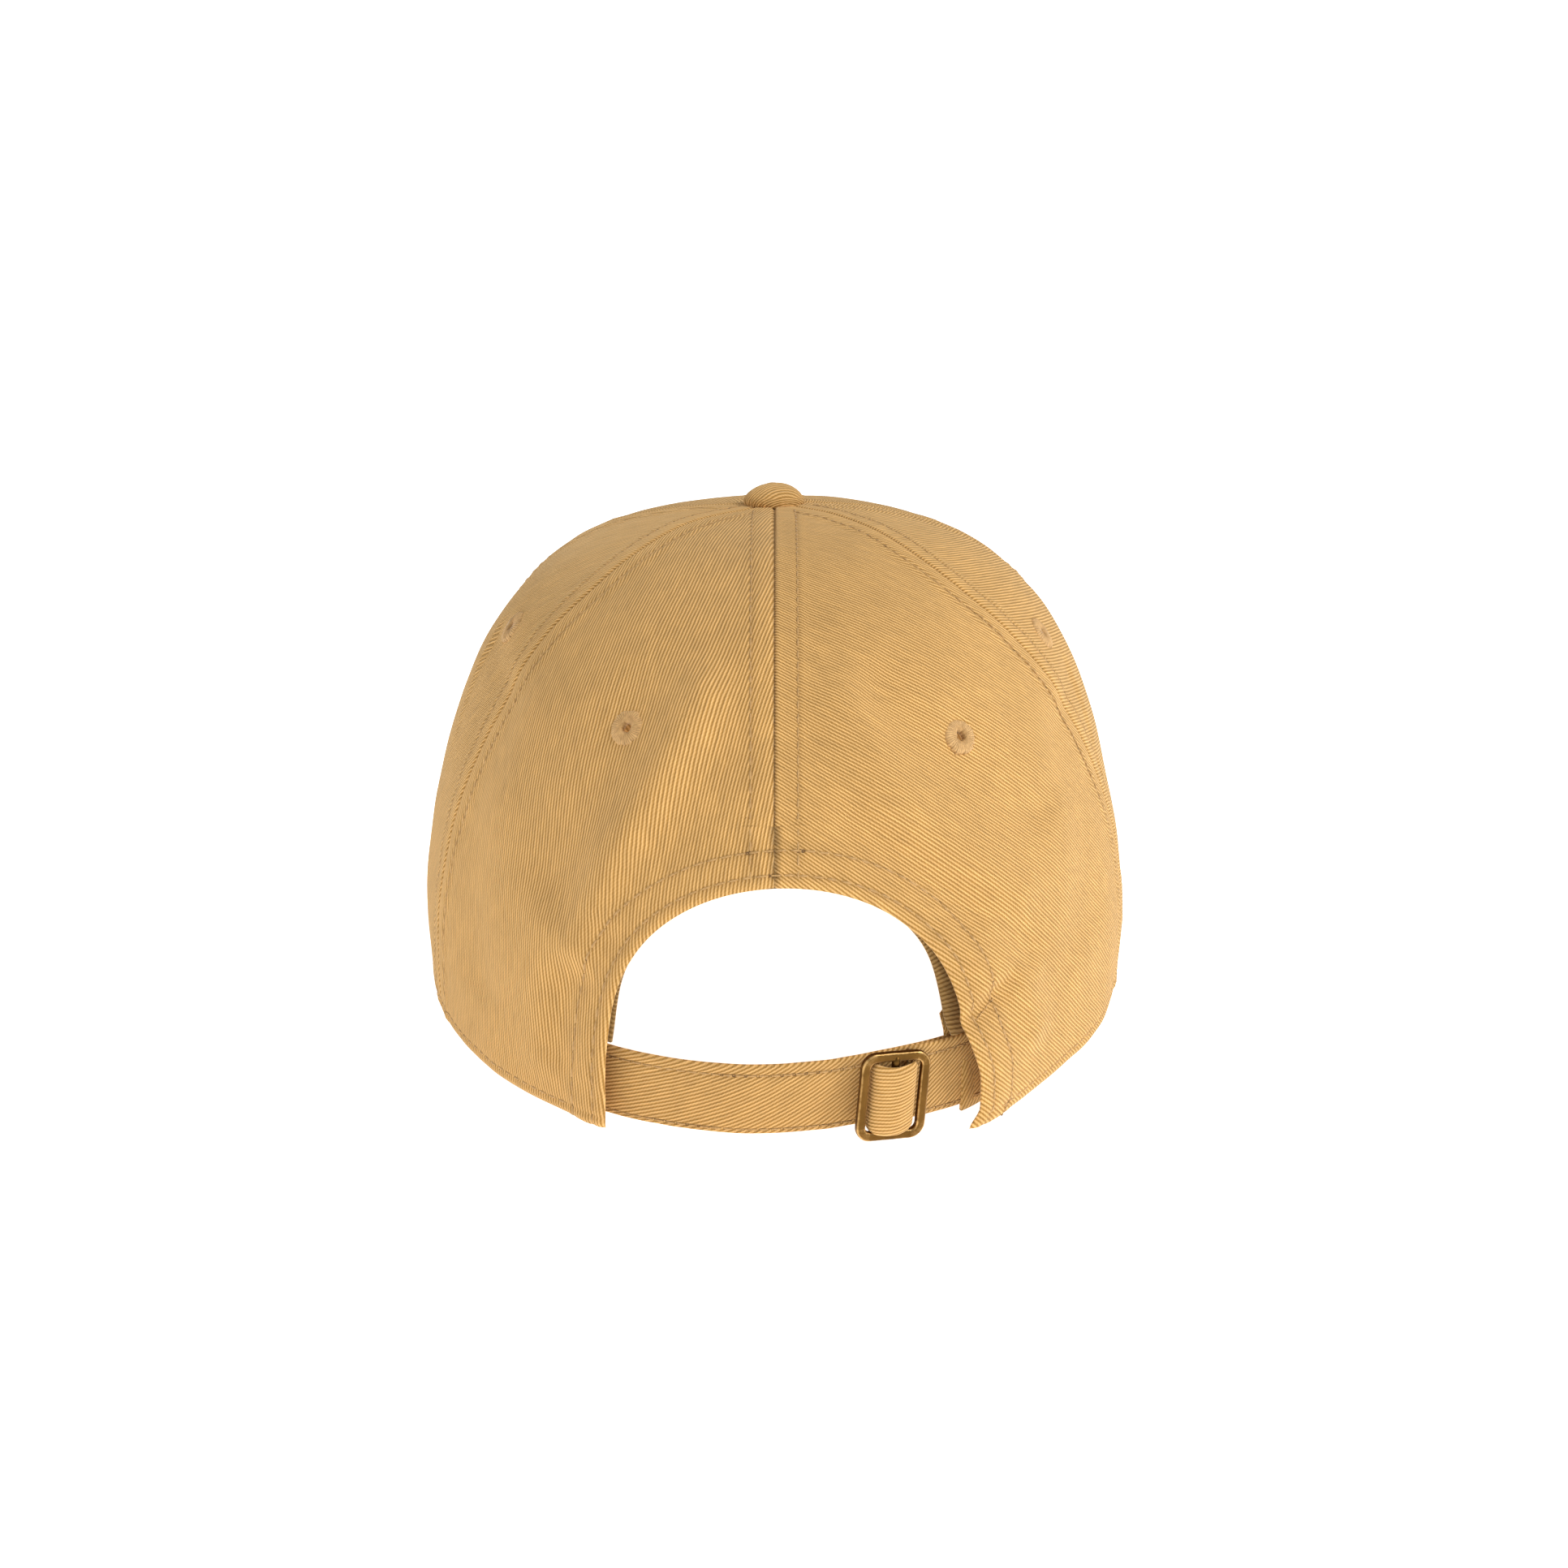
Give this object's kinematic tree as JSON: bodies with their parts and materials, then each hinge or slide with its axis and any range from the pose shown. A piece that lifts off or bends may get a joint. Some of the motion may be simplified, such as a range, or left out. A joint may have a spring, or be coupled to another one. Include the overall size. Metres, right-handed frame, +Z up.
{
  "type": "baseball cap",
  "caption": "Baseball cap with stitched cloth panels, a curved visor, and a cloth strap with a metal slide buckle across the rear opening.",
  "frame": {"origin": "middle of the cap's footprint on the surface it stands on: the visor's two edges and the back of the rim touch Z = 0", "axes": "+X to the wearer's right, +Y forwards to the visor's tip, +Z up; the crown leans back by the angle at which the cap rests"},
  "size_m": [0.172, 0.2712, 0.1302],
  "materials": {
    "cotton_twill": "washed golden cotton twill, matt",
    "embroidery_thread": "tonal polyester thread, slight sheen",
    "seam_tape": "woven cotton tape",
    "sweatband_twill": "soft cotton twill",
    "lining_felt": "non-woven felt",
    "visor_board_plastic": "moulded polyethylene",
    "antique_brass": "antique brass plating, darkened and rubbed on the edges",
    "plated_steel": "plated pressed steel"
  },
  "bodies": {
    "crown": {"panel_back_left": "cotton_twill", "panel_back_right": "cotton_twill", "panel_side_left": "cotton_twill", "panel_side_right": "cotton_twill", "panel_front_left": "cotton_twill", "panel_front_right": "cotton_twill", "eyelet_back_left": "embroidery_thread", "eyelet_back_right": "embroidery_thread", "eyelet_side_left": "embroidery_thread", "eyelet_side_right": "embroidery_thread", "eyelet_front_left": "embroidery_thread", "eyelet_front_right": "embroidery_thread", "seam_tape_back": "seam_tape", "seam_tape_back_left": "seam_tape", "seam_tape_back_right": "seam_tape", "seam_tape_front": "seam_tape", "seam_tape_front_left": "seam_tape", "seam_tape_front_right": "seam_tape", "arch_binding": "seam_tape", "hem_tape_left": "seam_tape", "hem_tape_right": "seam_tape", "visor_upper_cloth": "cotton_twill", "visor_lower_cloth": "cotton_twill", "visor_seam_allowance": "cotton_twill", "visor_edge_seam": "cotton_twill", "strap_tab": "cotton_twill", "strap_fold": "cotton_twill", "tuck_facing": "cotton_twill", "button_cover": "cotton_twill", "sweatband": "sweatband_twill", "sweatband_lining": "lining_felt", "visor_board": "visor_board_plastic", "bar_tacks": "embroidery_thread", "button_shell": "plated_steel", "button_rivet": "plated_steel", "button_washer": "plated_steel"},
    "strap": {"strap": "cotton_twill"},
    "buckle": {"buckle": "antique_brass"}
  },
  "joints": [
    {"name": "strap_adjust", "type": "hinge", "parent": "crown", "child": "strap", "pos_m": [0, -0.06302, 0.01316], "axis": [0, -0.1891, 0.982], "range_deg": [-9, 14]},
    {"name": "buckle_swing", "type": "hinge", "parent": "crown", "child": "buckle", "pos_m": [0.02548, -0.13077, 0.0103], "axis": [0.0815, -0.158, 0.9841], "range_deg": [-7, 7]}
  ]
}
